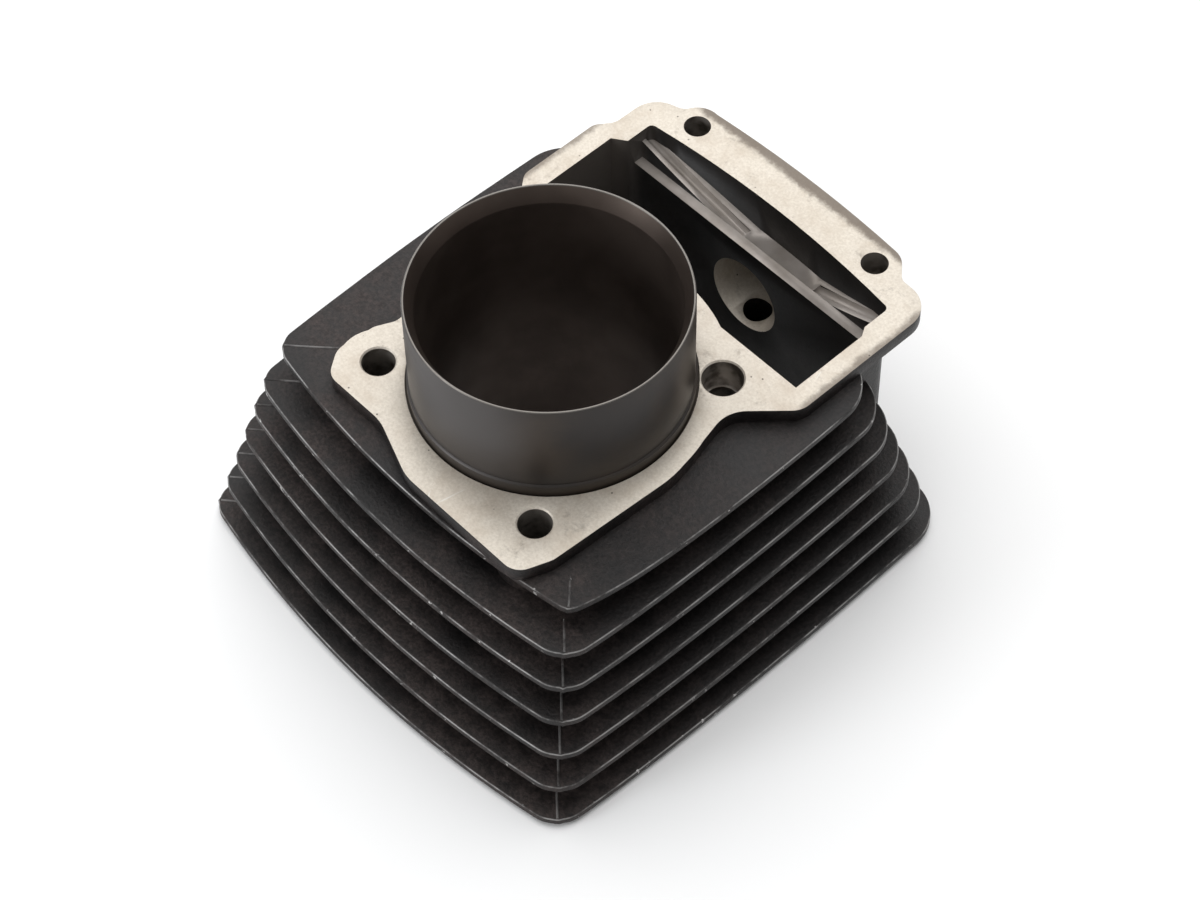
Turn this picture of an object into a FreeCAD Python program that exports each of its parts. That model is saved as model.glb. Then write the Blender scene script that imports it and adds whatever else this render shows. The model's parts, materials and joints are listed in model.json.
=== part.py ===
import FreeCAD, Part
import math
import os
import re
import Sketcher

# Air-cooled engine cylinder barrel: a finned casting with a chain tunnel, and a pressed-in iron liner.
# Frame: origin on the bore axis at the cylinder-head face, +Z towards the crankcase face and the
# liner's spigot, +Y from the bore towards the chain tunnel. Lengths are in millimetres.

DRIVING_SIZES = [
    ("barrel_height", 66, "head face to crankcase face"),
    ("bore_radius", 31.75, "finished bore"),
    ("liner_radius", 35.5, "liner inside the casting"),
    ("spigot_radius", 34.5, "liner beyond the crankcase face"),
    ("spigot_length", 31, "liner beyond the crankcase face"),
    ("spigot_collar_radius", 35, "register at the spigot's root"),
    ("spigot_collar_length", 3, "register length"),
    ("spigot_collar_chamfer", 0.5, "register's sloping edge"),
    ("spigot_edge", 0.4, "spigot's outer rim"),
    ("lead_in_length", 4.4, "bore lead-in at the spigot's rim"),
    ("lead_in_radius", 33.9, "bore lead-in at its mouth"),
    ("head_collar_radius", 37, "liner collar flush with the head face"),
    ("head_collar_length", 3.5, "liner collar"),
    ("seat_depth", 0.9, "groove between the casting and the spigot"),
    ("jacket_radius", 41, "casting round the liner"),
    ("middle_x", -1.75, "centre plane of fins and chain tunnel"),
    ("fin_drop", 4.3, "crankcase face to the first fin's top"),
    ("fin_pitch", 9.75, "fin to fin"),
    ("fin_thickness", 2.1, "one fin"),
    ("fin_edge_radius", 0.7, "rounding of a fin's rim"),
    ("fin_half_width", 55.9, "first fin, middle plane to its corners"),
    ("fin_width_step", 2.0, "each lower fin is wider by this, each side"),
    ("deck_front", 46.9, "first fin, bore axis to the front edge's middle"),
    ("fin_front", 50.7, "lower fins' front edge, less one step"),
    ("fin_front_step", 2.9, "each lower fin reaches further forward"),
    ("fin_rear", 59.4, "first fin, bore axis to the rear corners"),
    ("fin_rear_step", 2.7, "each lower fin reaches further back"),
    ("front_bow", 5.8, "rise of the first fin's front edge"),
    ("front_bow_step", 0.28, "each lower fin's front edge bows more"),
    ("side_bow", 1.5, "rise of a fin's side edge"),
    ("deck_corner_radius", 6.5, "first fin's front corners"),
    ("fin_corner_radius", 8.5, "lower fins' front corners"),
    ("fin_rear_radius", 12, "every fin's rear corners"),
    ("fin_left_inset", 1.2, "how far a fin's front left corner lies inside its mirror image"),
    ("stud_column_radius", 10, "casting round each main stud"),
    ("stud_hole_radius", 4.2, "main stud clearance"),
    ("stud_chamfer", 0.4, "stud hole mouth"),
    ("dowel_radius", 5.2, "dowel counterbore"),
    ("dowel_depth", 9, "dowel counterbore"),
    ("left_stud_x", -32.4, "two studs left of the bore"),
    ("left_front_stud_y", -27.2, ""),
    ("left_rear_stud_y", 29, ""),
    ("right_stud_x", 28.8, "two studs right of the bore"),
    ("right_front_stud_y", -32, ""),
    ("right_rear_stud_y", 29.2, ""),
    ("side_bolt_radius", 3.5, "clearance for the chain-side bolts"),
    ("side_boss_radius", 6.5, "casting round a chain-side bolt"),
    ("side_boss_length", 20, "that casting's reach below the crankcase face"),
    ("side_bolt_y", 81.15, "chain-side bolts"),
    ("side_bolt_left_x", -33.3, ""),
    ("side_bolt_right_x", 29.3, ""),
    ("tunnel_wall_left", -49.5, "chain tunnel, outside"),
    ("tunnel_wall_right", 46.2, ""),
    ("tunnel_wall_rear", 70.8, ""),
    ("tunnel_wall_corner", 6, "vertical corners of the tunnel's outside"),
    ("mouth_shell", 4, "casting round the tunnel's wide mouth"),
    ("mouth_shell_rear", 80.3, "that casting's outside"),
    ("tunnel_left", -45.7, "chain tunnel, inside"),
    ("tunnel_right", 43, ""),
    ("tunnel_front", 39.8, ""),
    ("tunnel_web", 4, "wall between the tunnel and the stud columns"),
    ("tunnel_guard_radius", 43.4, "jacket bulge inside the tunnel"),
    ("tunnel_jog_y", 65, "where the tunnel narrows"),
    ("tunnel_jog_left", 3.7, "narrowing on the left"),
    ("tunnel_jog_right", 1.5, "narrowing on the right"),
    ("tunnel_jog_slope", 2.5, "length of the sloping walls that narrow it"),
    ("tunnel_rear", 73.3, "opening's rear corners"),
    ("tunnel_rear_bow", 2.8, "rise of the opening's rear edge"),
    ("tunnel_corner", 1.5, "vertical corners inside the tunnel"),
    ("wall_front", 67.2, "tunnel's outer wall below the ledge"),
    ("wall_draft_angle", 2, "slope of that wall"),
    ("wedge_backing", 1, "how far the sloping face's solid runs into the wall behind"),
    ("ledge_depth", 10, "inner strip of the ledge"),
    ("ledge_step_y", 70, "step between the ledge's two strips"),
    ("arch_depth", 12.4, "outer strip at its middle"),
    ("arch_end_depth", 4, "outer strip at the tunnel's corners"),
    ("arch_flat_left", -5, "level stretch of the arch"),
    ("arch_flat_right", 17, ""),
    ("arch_sag", 0.6, "how far the rising stretches hang below straight lines"),
    ("groove_radius", 1.4, "lengthwise groove in each rising stretch"),
    ("groove_y", 72.6, ""),
    ("port_radius", 11, "cross bore in the tunnel's outer wall"),
    ("port_x", -0.9, ""),
    ("port_depth", 27, "crankcase face to the cross bore's axis"),
    ("port_mouth_y", 56, "where the cross bore's tool starts, inside the tunnel"),
    ("port_end_y", 78, "blind end of the cross bore"),
    ("port_boss", 3.5, "casting round the cross bore and its drain"),
    ("drain_radius", 3.85, "hole in the cross bore's floor"),
    ("drain_y", 72, ""),
    ("neck_front", 24, "casting between the rear stud columns and the chain tunnel"),
    ("pad_height", 1.1, "head pad beyond the last fin"),
    ("pad_margin", 6, "head pad round the stud columns and the tunnel"),
]
FIN_COUNT = 7
OVERCUT = 2      # how far a cutting solid runs past the face that it opens

doc = FreeCAD.newDocument("cylinder_barrel")
sheet = doc.addObject("Spreadsheet::Sheet", "Sizes")
for row, (alias, value, note) in enumerate(DRIVING_SIZES, start=1):
    sheet.set("A%d" % row, alias)
    sheet.set("B%d" % row, str(value))
    sheet.set("C%d" % row, note)
    sheet.setAlias("B%d" % row, alias)
doc.recompute()
ALIASES = re.compile(r"\b(" + "|".join(entry[0] for entry in DRIVING_SIZES) + r")\b")


def formula(text):
    """A size written with the sheet's aliases, as an expression that any object can hold."""
    return ALIASES.sub(r"Sizes.\1", str(text))


def number(text):
    """The same size as a plain number."""
    return float(sheet.evalExpression(formula(text)))


def bind(target, **sizes):
    for prop, text in sizes.items():
        target.setExpression(prop, formula(text))


def place(target, x="0", y="0", z="0"):
    target.setExpression("Placement.Base.x", formula(x))
    target.setExpression("Placement.Base.y", formula(y))
    target.setExpression("Placement.Base.z", formula(z))


def cylinder(name, radius, height, x="0", y="0", z="0"):
    rod = doc.addObject("Part::Cylinder", name)
    bind(rod, Radius=radius, Height=height)
    place(rod, x, y, z)
    return rod


def cone(name, bottom_radius, top_radius, height, x="0", y="0", z="0"):
    taper = doc.addObject("Part::Cone", name)
    bind(taper, Radius1=bottom_radius, Radius2=top_radius, Height=height)
    place(taper, x, y, z)
    return taper


def fuse(name, shapes):
    union = doc.addObject("Part::MultiFuse", name)
    union.Shapes = shapes
    return union


def cut(name, base, tool):
    result = doc.addObject("Part::Cut", name)
    result.Base = base
    result.Tool = tool
    return result


def new_body(name):
    return doc.addObject("PartDesign::Body", name)


def origin_plane(body, role):
    return next(plane for plane in body.Origin.OriginFeatures if plane.Role == role)


def outline(body, name, corners, bows=None, role="XY_Plane"):
    """A closed sketch. Each corner is a pair of sizes; bows maps an edge's number to the rise of its arc."""
    sketch = body.newObject("Sketcher::SketchObject", name)
    sketch.AttachmentSupport = (origin_plane(body, role), "")
    sketch.MapMode = "FlatFace"
    bows = bows or {}
    points = [FreeCAD.Vector(number(x), number(y), 0) for x, y in corners]
    for index, start in enumerate(points):
        end = points[(index + 1) % len(points)]
        if index in bows:
            chord = end - start
            outward = FreeCAD.Vector(chord.y, -chord.x, 0).normalize()
            crown = (start + end) * 0.5 + outward * number(bows[index])
            sketch.addGeometry(Part.Arc(start, crown, end))
        else:
            sketch.addGeometry(Part.LineSegment(start, end))
    bind_outline(sketch, corners, bows)
    return sketch


def edge_point(sketch, index, at_start):
    """Sketcher's number for an edge's start or end. An arc that runs clockwise is stored reversed."""
    edge = sketch.Geometry[index]
    if isinstance(edge, Part.ArcOfCircle) and edge.Axis.z < 0:
        at_start = not at_start
    return 1 if at_start else 2


def bind_outline(sketch, corners, bows):
    count = len(corners)
    for index, (x, y) in enumerate(corners):
        start = edge_point(sketch, index, True)
        before = (index - 1) % count
        end = edge_point(sketch, before, False)
        sketch.addConstraint(Sketcher.Constraint("Coincident", before, end, index, start))
        for kind, size in (("DistanceX", x), ("DistanceY", y)):
            row = sketch.addConstraint(Sketcher.Constraint(kind, -1, 1, index, start, number(size)))
            sketch.setExpression("Constraints[%d]" % row, formula(size))
    for index, rise in bows.items():
        first, second = corners[index], corners[(index + 1) % count]
        half = "(sqrt(((%s) - (%s))^2 + ((%s) - (%s))^2) / 2)" % (second[0], first[0], second[1], first[1])
        radius = "(%s^2 + (%s)^2) / (2 * (%s))" % (half, rise, rise)
        row = sketch.addConstraint(Sketcher.Constraint("Radius", index, number(radius)))
        sketch.setExpression("Constraints[%d]" % row, formula(radius))


def pad(body, sketch, length, name):
    feature = body.newObject("PartDesign::Pad", name)
    feature.Profile = sketch
    bind(feature, Length=length)
    sketch.Visibility = False
    doc.recompute()
    return feature


def upright_edges(shape, corners):
    """Names of the vertical edges that stand on these corners."""
    names = []
    for index, edge in enumerate(shape.Edges, start=1):
        ends = [vertex.Point for vertex in edge.Vertexes]
        if len(ends) != 2 or abs(ends[0].x - ends[1].x) + abs(ends[0].y - ends[1].y) > 1e-6:
            continue
        if any(math.hypot(ends[0].x - number(x), ends[0].y - number(y)) < 1e-4 for x, y in corners):
            names.append("Edge%d" % index)
    return names


def level_edges(shape):
    """Names of the edges that lie level."""
    names = []
    for index, edge in enumerate(shape.Edges, start=1):
        if edge.BoundBox.ZLength < 1e-6:
            names.append("Edge%d" % index)
    return names


def fillet(body, base, edges, radius, name):
    feature = body.newObject("PartDesign::Fillet", name)
    feature.Base = (base, edges)
    bind(feature, Radius=radius)
    doc.recompute()
    return feature


def rounded_prism(name, corners, rounds, length, z="0", bows=None):
    """A body padded from an outline, its vertical corners rounded. rounds maps a radius to corner numbers."""
    body = new_body(name)
    feature = pad(body, outline(body, name + "_outline", corners, bows), length, name + "_pad")
    for order, (radius, numbers) in enumerate(rounds.items(), start=1):
        edges = upright_edges(feature.Shape, [corners[index] for index in numbers])
        feature = fillet(body, feature, edges, radius, "%s_round_%d" % (name, order))
    place(body, z=z)
    return body


STUDS = [
    ("left_stud_x", "left_front_stud_y"),
    ("right_stud_x", "right_front_stud_y"),
    ("right_stud_x", "right_rear_stud_y"),
    ("left_stud_x", "left_rear_stud_y"),
]
DOWELLED_STUDS = STUDS[2:]
SIDE_BOLTS = [("side_bolt_left_x", "side_bolt_y"), ("side_bolt_right_x", "side_bolt_y")]


def casting_core():
    """The casting's upright mass inside the fins, without its holes."""
    shapes = [cylinder("jacket", "jacket_radius", "barrel_height")]
    for order, (x, y) in enumerate(STUDS, start=1):
        shapes.append(cylinder("stud_column_%d" % order, "stud_column_radius", "barrel_height", x, y))
    for order, (x, y) in enumerate(SIDE_BOLTS, start=1):
        shapes.append(cylinder("side_boss_%d" % order, "side_boss_radius", "side_boss_length", x, y,
                               "barrel_height - side_boss_length"))
    corners = [
        ("tunnel_wall_left", "tunnel_front - tunnel_web"),
        ("tunnel_wall_right", "tunnel_front - tunnel_web"),
        ("tunnel_wall_right", "tunnel_wall_rear"),
        ("tunnel_wall_left", "tunnel_wall_rear"),
    ]
    shapes.append(rounded_prism("tunnel_box", corners, {"tunnel_wall_corner": [0, 1, 2, 3]}, "barrel_height"))
    neck = doc.addObject("Part::Box", "neck")
    bind(neck, Length="right_stud_x - left_stud_x", Width="tunnel_front - neck_front", Height="barrel_height")
    place(neck, "left_stud_x", "neck_front")
    shell = arch_prism("mouth_shell", "mouth_shell", "mouth_shell_rear - tunnel_wall_rear + tunnel_web",
                       "tunnel_wall_rear - tunnel_web")
    boss = lying_cylinder("port_boss", "port_radius + port_boss", "port_end_y + port_boss - tunnel_jog_y",
                          "port_end_y + port_boss")
    axis_height = "barrel_height - port_depth"
    pillar = cylinder("drain_pillar", "drain_radius + port_boss", axis_height, "port_x", "drain_y")
    return fuse("casting_core", shapes + [neck, shell, boss, pillar, head_pad()])


def lying_cylinder(name, radius, length, rear):
    """A cylinder along the cross bore's axis that ends at this y."""
    rod = cylinder(name, radius, length, "port_x", rear, "barrel_height - port_depth")
    rod.Placement.Rotation = FreeCAD.Rotation(FreeCAD.Vector(1, 0, 0), 90)
    return rod


def crankcase_flange():
    """The machined plate under the crankcase gasket, with its scalloped outline."""
    corners = [
        ("-42.2", "-32"), ("-37.4", "-38.6"), ("-18.5", "-38.6"), ("-2.2", "-44.9"),
        ("36", "-44.9"), ("39.4", "-36"), ("41.6", "1"), ("36.6", "23"),
        ("48.8", "36"), ("48.8", "81.9"), ("37.6", "82.1"), ("32.6", "87.5"),
        ("-35.8", "87.3"), ("-40.5", "82.4"), ("-48.6", "80"), ("-48.8", "67"), ("-52.1", "62.5"),
        ("-52.1", "38.5"), ("-40", "24"), ("-38.8", "-16"), ("-41.2", "-21"),
    ]
    rounds = {
        "6": [0, 5, 8, 11, 12], "5": [1, 4], "14": [2, 3], "30": [6], "9": [7, 18], "8": [9, 14],
        "3": [10, 13], "4": [15, 16, 17, 19, 20],
    }
    return rounded_prism("flange", corners, rounds, "fin_drop", "barrel_height - fin_drop", {11: "1.6"})


def head_pad():
    """The head flange: the last fin's middle, with the head gasket's seat just proud of the fin."""
    margin = "stud_column_radius - pad_margin"
    corners = [
        ("left_stud_x - " + margin, "left_front_stud_y - " + margin),
        ("right_stud_x + stud_column_radius + pad_margin", "right_front_stud_y - " + margin),
        ("tunnel_wall_right + pad_margin", "tunnel_wall_rear + pad_margin"),
        ("tunnel_wall_left - pad_margin", "tunnel_wall_rear + pad_margin"),
    ]
    return rounded_prism("head_pad", corners, {"stud_column_radius": [0, 1], "side_boss_radius": [2, 3]},
                         "pad_height + fin_thickness")


def fin(number_from_top):
    """One cooling fin: a bowed four-sided plate with round corners and a round rim, cut round the core."""
    step = number_from_top - 1
    half = "fin_half_width + %d * fin_width_step" % step
    bow = "(front_bow + %d * front_bow_step)" % step
    reach = "fin_front + %d * fin_front_step" % step if step else "deck_front"
    rear = "fin_rear + %d * fin_rear_step" % step
    corners = [
        ("middle_x - (%s) + fin_left_inset" % half, "%s - (%s) + fin_left_inset" % (bow, reach)),
        ("middle_x + (%s)" % half, "%s - (%s)" % (bow, reach)),
        ("middle_x + (%s)" % half, rear),
        ("middle_x - (%s)" % half, rear),
    ]
    name = "fin_%d" % number_from_top
    body = new_body(name + "_plate")
    sketch = outline(body, name + "_outline", corners, {0: bow, 1: "side_bow", 3: "side_bow"})
    feature = pad(body, sketch, "fin_thickness", name + "_pad")
    radius = "fin_corner_radius" if step else "deck_corner_radius"
    feature = fillet(body, feature, upright_edges(feature.Shape, corners[:2]), radius, name + "_front")
    edges = upright_edges(feature.Shape, corners[2:])
    feature = fillet(body, feature, edges, "fin_rear_radius", name + "_back")
    fillet(body, feature, level_edges(feature.Shape), "fin_edge_radius", name + "_rim")
    place(body, z="barrel_height - fin_drop - fin_thickness - %d * fin_pitch" % step)
    return body


def liner():
    """The iron liner: head collar, barrel, register and spigot, turned about the bore's axis."""
    top = "barrel_height + spigot_length"
    profile = [
        ("bore_radius", "0"),
        ("head_collar_radius", "0"),
        ("head_collar_radius", "head_collar_length"),
        ("liner_radius", "head_collar_length"),
        ("liner_radius", "barrel_height - seat_depth"),
        ("spigot_collar_radius", "barrel_height - seat_depth"),
        ("spigot_collar_radius", "barrel_height + spigot_collar_length"),
        ("spigot_radius", "barrel_height + spigot_collar_length + spigot_collar_chamfer"),
        ("spigot_radius", top + " - spigot_edge"),
        ("spigot_radius - spigot_edge", top),
        ("lead_in_radius", top),
        ("bore_radius", top + " - lead_in_length"),
    ]
    body = new_body("cylinder_liner")
    sketch = outline(body, "liner_profile", profile, role="XZ_Plane")
    turned = body.newObject("PartDesign::Revolution", "liner_turned")
    turned.Profile = sketch
    turned.ReferenceAxis = (sketch, ["V_Axis"])
    turned.Angle = 360
    sketch.Visibility = False
    return body


def tunnel_hollow():
    """Everything that is open inside the chain tunnel, as solids to cut away."""
    through = [
        ("tunnel_left", "tunnel_front"),
        ("tunnel_right", "tunnel_front"),
        ("tunnel_right", "tunnel_jog_y - tunnel_jog_slope"),
        ("tunnel_right - tunnel_jog_right", "tunnel_jog_y"),
        ("tunnel_right - tunnel_jog_right", "wall_front"),
        ("tunnel_left + tunnel_jog_left", "wall_front"),
        ("tunnel_left + tunnel_jog_left", "tunnel_jog_y"),
        ("tunnel_left", "tunnel_jog_y - tunnel_jog_slope"),
    ]
    shaft = rounded_prism("shaft", through, {}, "barrel_height + 2 * %d" % OVERCUT, "-%d" % OVERCUT)
    mouth = [
        ("tunnel_left + tunnel_jog_left", "tunnel_jog_y"),
        ("tunnel_right - tunnel_jog_right", "tunnel_jog_y"),
        ("tunnel_right - tunnel_jog_right", "tunnel_rear"),
        ("tunnel_left + tunnel_jog_left", "tunnel_rear"),
    ]
    depth = "arch_depth + groove_radius + %d" % OVERCUT
    bows = {2: "tunnel_rear_bow"}
    floor = "barrel_height - arch_depth - groove_radius"
    opening = rounded_prism("mouth", mouth, {"tunnel_corner": [2, 3]}, depth, floor, bows)
    strip_width = "tunnel_rear + tunnel_rear_bow - ledge_step_y + %d" % OVERCUT
    arch = arch_prism("strip", "0", strip_width, "ledge_step_y")
    left_groove = strip_groove("left_groove", "arch_flat_left - groove_radius",
                               "tunnel_left + tunnel_jog_left", -1)
    right_groove = strip_groove("right_groove", "arch_flat_right + groove_radius",
                                "tunnel_right - tunnel_jog_right", 1)
    strip = doc.addObject("Part::Box", "inner_strip")
    bind(strip, Length="tunnel_right - tunnel_left", Width="ledge_step_y - tunnel_jog_y")
    bind(strip, Height="ledge_depth + %d" % OVERCUT)
    place(strip, "tunnel_left", "tunnel_jog_y", "barrel_height - ledge_depth")
    ledge = doc.addObject("Part::MultiCommon", "ledge_hollow")
    ledge.Shapes = [opening, fuse("ledge_tools", [arch, strip, left_groove, right_groove])]
    tall = "barrel_height + 4 * %d" % OVERCUT
    guard = cylinder("tunnel_guard", "tunnel_guard_radius", tall, z="-2 * %d" % OVERCUT)
    kept = fuse("tunnel_keep", [guard, wall_wedge()])
    return cut("tunnel_hollow", fuse("tunnel_tools", [shaft, ledge]), kept)


def arch_prism(name, margin, length, front):
    """The tunnel mouth's outer strip as a solid: level in the middle, rising to the tunnel's corners."""
    body = new_body(name + "_arch")
    left = "tunnel_left + tunnel_jog_left - %s" % margin
    right = "tunnel_right - tunnel_jog_right + %s" % margin
    top = "barrel_height"
    floor = "barrel_height - arch_depth - %s" % margin
    end = "barrel_height - arch_end_depth - %s" % margin
    corners = [
        (left, top), (left, end), ("arch_flat_left", floor),
        ("arch_flat_right", floor), (right, end), (right, top),
    ]
    sketch = outline(body, name + "_outline", corners, {1: "arch_sag", 3: "arch_sag"}, "XZ_Plane")
    feature = body.newObject("PartDesign::Pad", name + "_pad")
    feature.Profile = sketch
    feature.Reversed = True
    bind(feature, Length=length)
    sketch.Visibility = False
    place(body, y=front)
    return body


def strip_groove(name, start, end, turn):
    """A round groove that climbs with a rising stretch of the ledge's outer strip."""
    run = "abs((%s) - (%s))" % (end, start)
    climb = "(arch_depth - arch_end_depth)"
    length = "sqrt((%s)^2 + %s^2) + 2 * groove_radius + %d" % (run, climb, OVERCUT)
    groove = cylinder(name, "groove_radius", length, start, "groove_y", "barrel_height - arch_depth")
    slope = math.degrees(math.atan2(number(climb), number(run)))
    groove.Placement.Rotation = FreeCAD.Rotation(FreeCAD.Vector(0, 1, 0), turn * (90 - slope))
    return groove


def wall_wedge():
    """The sloping face of the tunnel's outer wall, which thickens away from the crankcase face."""
    body = new_body("wall_wedge")
    low = "-%d" % OVERCUT
    top = "barrel_height - ledge_depth"
    lean = "(barrel_height - ledge_depth + %d) * tan(wall_draft_angle)" % OVERCUT
    behind = "wall_front + wedge_backing"
    corners = [("wall_front - " + lean, low), (behind, low), (behind, top), ("wall_front", top)]
    sketch = outline(body, "wedge_outline", corners, role="YZ_Plane")
    feature = body.newObject("PartDesign::Pad", "wedge_pad")
    feature.Profile = sketch
    bind(feature, Length="tunnel_right - tunnel_left + 2 * %d" % OVERCUT)
    sketch.Visibility = False
    place(body, x="tunnel_left - %d" % OVERCUT)
    return body


def drillings():
    """Stud holes, dowel counterbores, chain-side bolt holes, the cross bore and the liner's seat."""
    long_hole = "barrel_height + 2 * %d" % OVERCUT
    tools = []
    for order, (x, y) in enumerate(STUDS, start=1):
        tools.append(cylinder("stud_hole_%d" % order, "stud_hole_radius", long_hole, x, y, "-%d" % OVERCUT))
        tools.append(cone("stud_mouth_%d" % order, "stud_hole_radius", "stud_hole_radius + stud_chamfer",
                          "stud_chamfer", x, y, "barrel_height - stud_chamfer"))
    for order, (x, y) in enumerate(DOWELLED_STUDS, start=1):
        tools.append(cylinder("dowel_hole_%d" % order, "dowel_radius", "dowel_depth + %d" % OVERCUT, x, y,
                              "barrel_height - dowel_depth"))
        tools.append(cone("dowel_mouth_%d" % order, "dowel_radius", "dowel_radius + stud_chamfer",
                          "stud_chamfer", x, y, "barrel_height - stud_chamfer"))
    for order, (x, y) in enumerate(SIDE_BOLTS, start=1):
        tools.append(cylinder("side_hole_%d" % order, "side_bolt_radius", long_hole, x, y, "-%d" % OVERCUT))
    tools.append(cylinder("liner_seat", "liner_radius", long_hole, z="-%d" % OVERCUT))
    collar_cut = "head_collar_length + %d" % OVERCUT
    tools.append(cylinder("collar_seat", "head_collar_radius", collar_cut, z="-%d" % OVERCUT))
    tools.append(lying_cylinder("port", "port_radius", "port_end_y - port_mouth_y", "port_end_y"))
    drop = "barrel_height - port_depth + %d" % OVERCUT
    tools.append(cylinder("drain", "drain_radius", drop, "port_x", "drain_y", "-%d" % OVERCUT))
    return fuse("drillings", tools)


core = casting_core()
drilled = fuse("all_hollows", [tunnel_hollow(), drillings()])
barrel = cut("barrel_body", fuse("casting_blank", [core, crankcase_flange()]), drilled)
sub_parts = [barrel, liner()]
for order in range(1, FIN_COUNT + 1):
    sub_parts.append(cut("cooling_fin_%d" % order, fin(order), core))
doc.recompute()

for item in doc.Objects:
    if "Invalid" in item.State or "Error" in item.State:
        raise RuntimeError("%s did not build: %s" % (item.Name, item.State))
os.makedirs("parts", exist_ok=True)
for part in sub_parts:
    if part.Shape.isNull() or not part.Shape.isValid():
        raise RuntimeError("%s is not a valid shape" % part.Label)
    print(part.Label, len(part.Shape.Solids), "solid", round(part.Shape.Volume), "mm3")
    part.Shape.exportStep("parts/%s.step" % part.Label)
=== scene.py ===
import bmesh
import bpy
import json
import math
from mathutils import Matrix, Vector


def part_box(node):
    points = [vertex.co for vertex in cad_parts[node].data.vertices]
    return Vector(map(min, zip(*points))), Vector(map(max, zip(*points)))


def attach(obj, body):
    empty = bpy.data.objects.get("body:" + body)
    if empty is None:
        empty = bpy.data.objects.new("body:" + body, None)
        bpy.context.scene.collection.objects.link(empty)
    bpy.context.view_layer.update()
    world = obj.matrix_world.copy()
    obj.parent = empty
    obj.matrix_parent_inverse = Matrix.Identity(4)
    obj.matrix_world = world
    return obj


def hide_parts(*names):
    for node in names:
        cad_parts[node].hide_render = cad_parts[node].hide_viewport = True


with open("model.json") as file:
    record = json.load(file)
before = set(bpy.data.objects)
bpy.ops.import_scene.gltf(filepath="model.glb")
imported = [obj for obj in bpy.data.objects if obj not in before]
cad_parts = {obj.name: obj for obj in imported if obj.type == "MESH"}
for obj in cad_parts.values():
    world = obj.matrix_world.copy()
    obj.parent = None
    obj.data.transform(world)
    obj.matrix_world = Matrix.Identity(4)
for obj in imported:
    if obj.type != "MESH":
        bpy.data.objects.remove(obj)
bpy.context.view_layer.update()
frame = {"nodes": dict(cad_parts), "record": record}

MM = 0.001
FIN_COUNT = 7
SMOOTH_ANGLE = 35
MOUNTS = {mount["name"]: mount for mount in frame["record"]["mounts"]}
BORE_RADIUS = MOUNTS["cylinder_bore"]["dims"]["r_mm"] * MM
SPIGOT_RADIUS = MOUNTS["liner_spigot"]["dims"]["r_mm"] * MM
BARREL_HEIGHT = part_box("barrel_body")[1].z
LINER_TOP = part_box("cylinder_liner")[1].z


# ---------------------------------------------------------------- node graphs written as arithmetic


class Value:
    """A socket of a node graph, so that sums, products and powers of it read as plain arithmetic."""

    def __init__(self, graph, socket):
        self.graph = graph
        self.socket = socket

    def __add__(self, other):
        return self.graph.maths("ADD", self, other)

    __radd__ = __add__

    def __sub__(self, other):
        return self.graph.maths("SUBTRACT", self, other)

    def __rsub__(self, other):
        return self.graph.maths("SUBTRACT", other, self)

    def __mul__(self, other):
        return self.graph.maths("MULTIPLY", self, other)

    __rmul__ = __mul__

    def __truediv__(self, other):
        return self.graph.maths("DIVIDE", self, other)

    def __pow__(self, other):
        return self.graph.maths("POWER", self, other)


class Graph:
    """A node tree that is filled from Python."""

    def __init__(self, tree):
        self.tree = tree

    def node(self, kind, inputs=None, output=0, **settings):
        """Adds any node: its settings first, then its sockets' values or links."""
        made = self.tree.nodes.new(kind)
        for name, value in settings.items():
            setattr(made, name, value)
        for key, value in (inputs or {}).items():
            self.feed(made.inputs[key], value)
        return Value(self, made.outputs[output])

    def feed(self, socket, value):
        if isinstance(value, Value):
            self.tree.links.new(value.socket, socket)
        elif isinstance(value, (list, tuple)) and value and isinstance(value[0], Value):
            for item in value:
                self.tree.links.new(item.socket, socket)
        else:
            socket.default_value = value

    def maths(self, operation, *values, clamp=False):
        return self.node("ShaderNodeMath", dict(enumerate(values)), operation=operation, use_clamp=clamp)

    def vector(self, operation, *values):
        return self.node("ShaderNodeVectorMath", dict(enumerate(values)), operation=operation)

    def stretched(self, vector, factor):
        return self.node("ShaderNodeVectorMath", {0: vector, "Scale": factor}, operation="SCALE")

    def parts(self, vector):
        """The x, y and z of a vector."""
        split = self.node("ShaderNodeSeparateXYZ", {0: vector}).socket.node
        return [Value(self, split.outputs[axis]) for axis in range(3)]

    def join(self, x, y, z):
        return self.node("ShaderNodeCombineXYZ", {0: x, 1: y, 2: z})

    def rise(self, value, low, high):
        """0 below low, 1 above high, smooth between."""
        inputs = {"Value": value, "From Min": low, "From Max": high}
        return self.node("ShaderNodeMapRange", inputs, interpolation_type="SMOOTHSTEP")


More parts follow.
